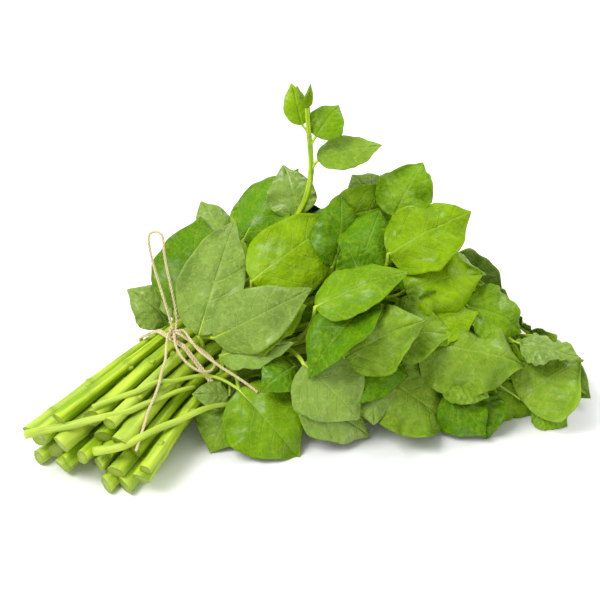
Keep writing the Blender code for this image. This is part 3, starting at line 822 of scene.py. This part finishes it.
def add_blade(shape, leaf, place, look, tone):
    """The upper and lower skins of a blade and its rim, with fewer faces where nobody looks."""
    rows, across = (INNER_ROWS, ACROSS[::2]) if leaf.inner else (ROWS_ALONG, ACROSS)
    grid = [[place(i / rows, v) for v in across] for i in range(rows + 1)]
    spots = [[cell[0] for cell in row] for row in grid]
    skins = {1: [], -1: []}
    for i, row in enumerate(grid):
        u = i / rows
        for facing in (1, -1):
            found = []
            for j, (spot, rank, y) in enumerate(row):
                ahead = spots[min(i + 1, rows)][j] - spots[max(i - 1, 0)][j]
                over = spots[i][min(j + 1, len(across) - 1)] - spots[i][max(j - 1, 0)]
                lift = BLADE_HALF_THICKNESS * (1 - 0.35 * abs(across[j])) * facing
                found.append(shape.point(
                    spot + over.cross(ahead).normalized() * lift,
                    leaf_place=(u, across[j], facing), leaf_mm=(u * leaf.length / MM, y / MM, rank),
                    leaf_tone=tone, leaf_look=look,
                ))
            skins[facing].append(found)
    upper, lower = skins[1], skins[-1]
    last = len(across) - 1
    for i in range(rows):
        for j in range(last):
            shape.face(upper[i][j], upper[i][j + 1], upper[i + 1][j + 1], upper[i + 1][j])
            shape.face(lower[i][j + 1], lower[i][j], lower[i + 1][j], lower[i + 1][j + 1])
        shape.face(lower[i][0], upper[i][0], upper[i + 1][0], lower[i + 1][0])
        shape.face(upper[i][last], lower[i][last], lower[i + 1][last], upper[i + 1][last])
    for j in range(last):
        shape.face(lower[0][j], lower[0][j + 1], upper[0][j + 1], upper[0][j])
        shape.face(upper[-1][j], upper[-1][j + 1], lower[-1][j + 1], lower[-1][j])


def add_stalk(shape, leaf, place, draw):
    """The stalk from inside the stem to the blade, which runs on beneath the blade as its midrib."""
    thick = min(1.5 * MM, 0.6 * leaf.stem.radius(leaf.s), 0.075 * leaf.width)
    root, bend = leaf.stem.point(leaf.s), stalk_bend(leaf.stem, leaf.s, leaf.base)
    line = [root.lerp(bend, t).lerp(bend.lerp(leaf.base, t), t) for t in [k / 10 for k in range(11)]]
    radii = [thick * (1.35 - 0.5 * smooth(k / 10, 0, 0.45)) for k in range(11)]
    for u in (0.04, 0.08, 0.14, 0.22, 0.32, 0.44, 0.56, 0.68, 0.8, 0.9):
        line.append(place(u, 0)[0] - leaf.normal * (0.55 * MM))
        radii.append(thick * 0.6 * (1 - u) ** 1.2 + 0.14 * MM)
    shift = draw.uniform(0, 100)

    def carry(i, angle):
        run = (i * 0.25 + shift, 0.9 * math.cos(angle), 0.9 * math.sin(angle))
        return {"stem_run": run, "stem_look": (0.2, 0.0, 0.2)}

    shape.tube(line, radii, STALK_SIDES, carry, slot=1, start=leaf.normal)


print("corners in a blade:", 2 * (ROWS_ALONG + 1) * len(ACROSS))

# %% [markdown]
# ## One stem
# A stem is a tapering tube that swells a little at each joint, where a leaf grows or once grew. Between
# the cut and the neck the leaves were stripped, which leaves short stubs. The cut itself is slightly
# slanted, with a rounded lip and a shallow hollow in the pith.

# %% Stem geometry
STEM_STEP = 2.4 * MM
STEM_SIDES = 14
STUB_LENGTH = 2.2 * MM
CUT_RINGS = ((0.97, -0.12 * MM), (0.9, -0.16 * MM), (0.72, 0.0), (0.45, 0.22 * MM), (0.2, 0.3 * MM))


def add_stem(shape, stem, leaves, draw):
    """The skin of a stem, its cut face and the stubs of the leaves that were stripped."""
    spots = stem.steps(int(length_of([stem.point(s) for s in stem.steps(60)]) / STEM_STEP))
    bare = [stem.start + draw.uniform(0.12, 0.3), stem.start + draw.uniform(0.5, 0.75)]
    joints = [(leaf.s, 0.12) for leaf in leaves] + [(s, 0.14) for s in bare]
    line = [stem.point(s) for s in spots]
    slant = Vector((draw.uniform(-1, 1), draw.uniform(-1, 1))) * 0.5
    shift, ridge, pale = draw.uniform(0, 100), draw.uniform(0, 6.3), draw.uniform(0.0, 0.55)
    rings = []
    for i, (s, middle, pair) in enumerate(zip(spots, line, carried_frames(line))):
        swell = sum(size * math.exp(-(((s - at) / 0.035) ** 2)) for at, size in joints)
        near_joint = min(1.0, sum(math.exp(-(((s - at) / 0.02) ** 2)) for at, _ in joints))
        radius = stem.radius(s) * (0.96 + 0.12 * (1 - smooth(s, stem.start, 0.7))) * (1 + swell)
        still_slanted = radius * max(0.0, 1 - i / 3)
        ring = []
        for k in range(STEM_SIDES):
            angle = 2 * math.pi * k / STEM_SIDES
            out = outward(pair, angle)
            bulge = 1 + 0.05 * math.cos(5 * angle + ridge) + 0.07 * noise.noise(middle * 45 + out)
            back = still_slanted * outward(slant, angle)
            place = middle + out * (radius * bulge) + stem.forward(s) * back
            run = (i * STEM_STEP / MM * 0.035 + shift, 1.1 * math.cos(angle), 1.1 * math.sin(angle))
            look = (pale * (1 - smooth(s, stem.start, 1.5)), near_joint, 1 - smooth(s, stem.start, 1.1))
            ring.append(shape.point(place, stem_run=run, stem_look=look))
        rings.append(ring)
    shape.rings(rings, slot=1)
    add_cut(shape, stem, rings[0])
    tip = shape.point(stem.point(stem.end) + stem.forward(stem.end) * 2 * MM, stem_run=(shift, 0, 0))
    for k in range(STEM_SIDES):
        shape.face(rings[-1][k], rings[-1][(k + 1) % STEM_SIDES], tip, slot=1)
    for at in bare:
        add_stub(shape, stem, at, draw)


def add_cut(shape, stem, rim):
    """The cut face: a rounded lip, then rings to the middle, which lies a little deeper."""
    middle = sum((shape.points[k] for k in rim), Vector()) / len(rim)
    inward = stem.forward(stem.start)
    rings = [rim]
    for share, depth in CUT_RINGS:
        places = [middle.lerp(shape.points[k], share) + inward * depth for k in rim]
        rings.append([shape.point(place, stem_look=(share, 0, 0)) for place in places])
    shape.rings(rings[::-1], slot=2)
    shape.face(*rings[-1][::-1], slot=2)


def add_stub(shape, stem, at, draw):
    """What is left of a leaf stalk that was pulled off."""
    pair = carried_frames([stem.point(at), stem.point(at + 0.05)])[0]
    out, ahead = outward(pair, draw.uniform(0, 6.28)), stem.forward(at)
    root = stem.point(at) + out * stem.radius(at) * 0.7
    line = [root + (out * a + ahead * b) * STUB_LENGTH for a, b in ((0, 0), (0.5, 0.3), (0.8, 1))]

    def carry(i, angle):
        return {"stem_look": (0.3, 0.5, 0.5), "stem_run": (at * 9, angle, i)}

    shape.tube(line, [1.9 * MM, 1.6 * MM, 1.2 * MM], 8, carry, slot=1)


print("stubs on each stem: 2")

# %% [markdown]
# ## Stalks that lie across the stems
# Three long leaf stalks have slipped down and lie loose over the cut stems, thinner and paler than those.
# A rope simulation could settle them on what is under them, but a few listed points do it in less
# time and give the same line each run.

# %% Lying stalks
STALK_STEPS = 44
LYING_STALKS = {
    "leafy_stem_19": (4.2 * MM, (
        (-149, -66, 37), (-140, -61, 36), (-126, -61, 39), (-115, -60, 42), (-104, -59, 44.5),
        (-94, -52, 42), (-86, -44, 40.5), (-77, -36, 38.5), (-69, -27, 36), (-60, -19, 33),
    )),
    "leafy_stem_10": (4.4 * MM, (
        (-112, -68, 27), (-97, -70, 32), (-88, -63, 32), (-78, -55, 32), (-67, -47, 31.5), (-56, -38, 31),
        (-47, -30, 28), (-38.5, -25, 24.5),
    )),
    "leafy_stem_24": (3.0 * MM, (
        (-113, -54, 46), (-101, -46, 46), (-89, -40, 47), (-80, -30, 45), (-71, -25, 42), (-62, -18, 39),
        (-53, -14, 37), (-44, -16, 35.5), (-34.5, -22, 33),
    )),
}


def add_lying_stalk(shape, spots, thickness, draw):
    """A long thin leaf stalk that lies across the stems."""
    route = [mm(*spot) for spot in spots]
    line = evenly([along(route, i / 6) for i in range(6 * (len(route) - 1) + 1)], STALK_STEPS)
    taper = [1.2 - 0.6 * i / STALK_STEPS + 0.12 * noise.noise(p * 90) for i, p in enumerate(line)]
    shift = draw.uniform(0, 100)

    def carry(i, angle):
        run = (i * 0.1 + shift, math.cos(angle), math.sin(angle))
        return {"stem_run": run, "stem_look": (0.55, 0.0, 0.3)}

    shape.tube(line, [thickness / 2 * share for share in taper], STEM_SIDES, carry, slot=1)


print("stalks that lie across the stems:", len(LYING_STALKS))

# %% [markdown]
# ## The tones of the leaves
# No two leaves of a real bunch are the same green: old ones are dark, young ones bright and yellowish,
# and where one has turned over its pale underside shows. The leaves that face the camera get a tone each,
# by the place of their tip. The small leaves deep in the bunch all take the dark tone, as painted shade
# for the shaded middle of the bunch, and the rest draw theirs at random.

# %% Tones
TONES = {
    "deep": (colour(82, 132, 0), (0.0, 0.22, 0.2)),
    "fresh": (colour(110, 154, 2), (0.05, 0.3, 0.5)),
    "bright": (colour(126, 166, 0), (0.0, 0.3, 0.7)),
    "pale": (colour(124, 156, 54), (0.7, 0.4, 0.3)),
    "soft": (colour(120, 158, 22), (0.3, 0.35, 0.5)),
    "light": (colour(140, 180, 34), (0.4, 0.35, 0.6)),
}
NAMED_TONES = {
    "deep": (
        (-60, 64, 98), (-2, 90, 116), (4, -34, 52), (23, 54, 116), (25, 20, 106), (46, 50, 108),
        (107, -37, 12),
    ),
    "fresh": ((60, 2, 98), (72, 72, 128), (70, 70, 106), (0, -50, 5)),
    "bright": ((24, 50, 104), (98, 41, 113), (105, 22, 83)),
    "pale": (
        (-38, 50, 103), (6, -6, 92), (-3, -17, 61), (-101, 35, 64), (34, -40, 26), (42, -34, 9),
        (-60, 83, 95), (-10, 82, 119),
    ),
    "soft": ((69, -18, 79), (129, -14, 45), (89, -28, 9), (61, -41, 76), (-51, -44, 5)),
    "light": ((163, 1, 38), (152, -32, 41)),
}
NAMED_SPOTS = [(mm(*spot), name) for name, spots in NAMED_TONES.items() for spot in spots]
NAMED_WITHIN = 10 * MM
CHANCES = ("deep", "fresh", "fresh", "bright", "soft", "soft", "pale")


def tone_of(leaf, draw):
    """The colour and the look of a leaf, as paleness, strength of the veins and patches of yellow."""
    drawn = draw.choice(CHANCES)
    shade = draw.uniform(0.88, 1.12)
    place, name = min(NAMED_SPOTS, key=lambda spot: (spot[0] - leaf.tip).length)
    name = name if (place - leaf.tip).length < NAMED_WITHIN else drawn
    # Leaves deep in the bunch always take the dark tone: painted shade for the middle of the bunch.
    tone, look = TONES["deep" if leaf.inner else name]
    return tuple(c * shade for c in tone[:3]), look


tone_draw = random.Random(3)
for leaf in [leaf for leaves in leaves_of.values() for leaf in leaves]:
    leaf.tone, leaf.look = tone_of(leaf, tone_draw)
print("leaves with a tone:", sum(len(leaves) for leaves in leaves_of.values()))

# %% [markdown]
# ## Growing the shoots
# Every shoot becomes one mesh: stem, stalks, blades and three tiny unopened leaves at its end. It
# replaces the plain solid of the same number, which stays behind it for collisions, hidden.

# %% Shoots
FIRM_ABOVE = 132 * MM
LIMP_FROM, LIMP_TO = 10 * MM, 90 * MM
FIRM, HALF_LIMP, LIMP = 0.3, 0.55, 1.2


def add_bud(shape, stem, draw):
    """Three tiny leaves that have not opened, at the very end of a shoot."""
    ahead = stem.forward(stem.end)
    pair = carried_frames([stem.point(stem.end - 0.02), stem.point(stem.end)])[0]
    for k in range(3):
        out = outward(pair, 2.1 * k + draw.uniform(-0.3, 0.3))
        base = stem.point(stem.end) + ahead * 1.0 * MM
        tip = base + (ahead + out * draw.uniform(0.35, 0.7)).normalized() * draw.uniform(9, 14) * MM
        width = draw.uniform(4, 6) * MM
        small = Leaf(stem, stem.end, base, tip, ahead.cross(out), width, bow=-0.08, cup=-0.5)
        tone, look = TONES["bright"]
        add_blade(shape, small, surface_of(small, draw, waves=0.3), look, tone[:3])


def limpness(leaf):
    """How crumpled a leaf is: the small ones are firm, and those away from the neck have wilted most."""
    if leaf.tip.z > FIRM_ABOVE:
        return FIRM
    return HALF_LIMP + (LIMP - HALF_LIMP) * smooth(leaf.tip.x, LIMP_FROM, LIMP_TO)


grow_draw = random.Random(21)
faces = 0
for stem in stems:
    shape = Shape("leaf_place", "leaf_mm", "leaf_tone", "leaf_look", "stem_run", "stem_look")
    add_stem(shape, stem, leaves_of[stem.name], grow_draw)
    for leaf in leaves_of[stem.name]:
        sheet = surface_of(leaf, grow_draw, waves=limpness(leaf))
        add_blade(shape, leaf, sheet, leaf.look, leaf.tone)
        add_stalk(shape, leaf, sheet, grow_draw)
    add_bud(shape, stem, grow_draw)
    if stem.name in LYING_STALKS:
        thickness, spots = LYING_STALKS[stem.name]
        add_lying_stalk(shape, spots, thickness, grow_draw)
    piece = shape.make(f"grown_{stem.name}", leaf_finish, stem_finish, cut_finish)
    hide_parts(stem.name)
    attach(piece, "root")
    faces += len(shape.faces)
print("faces in the shoots:", faces)

# %% [markdown]
# ## The tie
# Two turns of twine are drawn tight round the neck, so they follow its hull: each point of a turn rests
# on the stem that stands out furthest that way. On top sits the knot of the bow. A lump would give it
# away, so the knot is a real one, a length of twine that follows a trefoil.

# %% Tie and knot
WRAP_SPREAD = 0.7 * MM
WRAP_GAP = 0.7 * MM
WRAP_POINTS, WRAP_ROUGH, WRAP_STEPS = 26, 90, 330
KNOT_STEPS = 110
KNOT = mm(-72.4, 3.8, 53.8)
KNOT_SCALE = 1.25 * MM


def crossing(stem, ahead, offset):
    """Where the stem meets the plane across the neck that lies offset ahead of the neck's middle."""
    low, high = NECK - 0.4, NECK + 0.4
    for _ in range(24):
        s = (low + high) / 2
        if (stem.point(s) - SHEAF[1][0]).dot(ahead) < offset:
            low = s
        else:
            high = s
    return stem.point(s), stem.radius(s) * 1.12


def wrap_line(offset):
    """One turn of twine drawn tight round the stems, in the plane offset ahead of the neck's middle."""
    ahead = (SHEAF[2][0] - SHEAF[0][0]).normalized()
    side = ahead.cross(UP).normalized()
    top = side.cross(ahead)
    cut = [crossing(stem, ahead, offset) for stem in stems]
    turn = []
    for k in range(WRAP_POINTS):
        out = outward((side, top), 2 * math.pi * k / WRAP_POINTS)
        middle, radius = max(cut, key=lambda spot: spot[0].dot(out) + spot[1])
        turn.append(middle + out * (radius + WRAP_GAP + TWINE_DIAMETER / 2))
    rough = evenly(turn + [turn[0]], WRAP_ROUGH)
    return evenly(rough[:-1], WRAP_STEPS, closed=True)


def knot_line():
    """A trefoil lying on the neck."""
    out = Vector((0, -0.5, 0.87)).normalized()
    across = Vector((0.8, -0.5, -0.29)).normalized()
    over = out.cross(across)
    line = []
    for k in range(KNOT_STEPS):
        t = 2 * math.pi * k / KNOT_STEPS
        x, y, z = math.sin(t) + 2 * math.sin(2 * t), math.cos(t) - 2 * math.cos(2 * t), -math.sin(3 * t)
        line.append(KNOT + (across * x + over * y * 0.85 + out * (z * 0.9 + 0.2)) * KNOT_SCALE)
    return line


tie = Shape("yarn_run")
for offset in (-WRAP_SPREAD, WRAP_SPREAD):
    turn = wrap_line(offset)
    twist_yarns(tie, turn, closed=True)
    add_fuzz(tie, turn, fuzz_draw, 0.5)
knot = knot_line()
twist_yarns(tie, knot, closed=True)
add_fuzz(tie, knot, fuzz_draw, 1.2)
piece = tie.make("laid_twine_tie", jute)
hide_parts("twine_tie")
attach(piece, "root")
print("faces in the tie:", len(tie.faces))

# %% [markdown]
# ## Floor and light
# The bunch lies on a plain white floor in soft daylight: a wide lamp above and to the left gives the
# leaves their sheen, and a white surrounding fills the shadows, so that only a faint one is left under
# the bunch.

# %% Floor, lamps and world
FLOOR_SIZE = 6.0
ground = bpy.data.meshes.new("white_floor")
half = FLOOR_SIZE / 2
corners = [(-half, -half, 0), (half, -half, 0), (half, half, 0), (-half, half, 0)]
ground.from_pydata(corners, [], [(0, 1, 2, 3)])
floor = put("white_floor", ground)
paper = Finish("white_paper", Roughness=0.75, Base_Color=(0.93, 0.93, 0.93, 1))
ground.materials.append(paper.material)
floor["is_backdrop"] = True


def lamp(name, place, size, watts):
    """A square soft lamp that faces the bunch."""
    light = bpy.data.lights.new(name, "AREA")
    light.size, light.energy = size, watts
    hung = put(name, light)
    hung.location = place
    hung.rotation_euler = (Vector(place) - LOOK_AT).to_track_quat("Z", "Y").to_euler()


lamp("window_lamp", (-0.9, -0.5, 1.5), 0.9, 26)
lamp("back_lamp", (0.8, 0.7, 1.3), 0.8, 11)
world = bpy.data.worlds.new("white_room")
world.use_nodes = True
sky = world.node_tree.nodes["Background"]
sky.inputs["Color"].default_value = (1, 1, 1, 1)
sky.inputs["Strength"].default_value = 0.68
bpy.context.scene.world = world
print("lamps: 2")

# %% [markdown]
# ## Closing
# The size of the dressed model is printed axis by axis, in millimetres.

# %% Sizes and finish
dressed_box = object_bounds()
for axis, low, high in zip("xyz", *[[round(c / MM, 1) for c in corner] for corner in dressed_box]):
    print(axis, "from", low, "to", high, "mm")
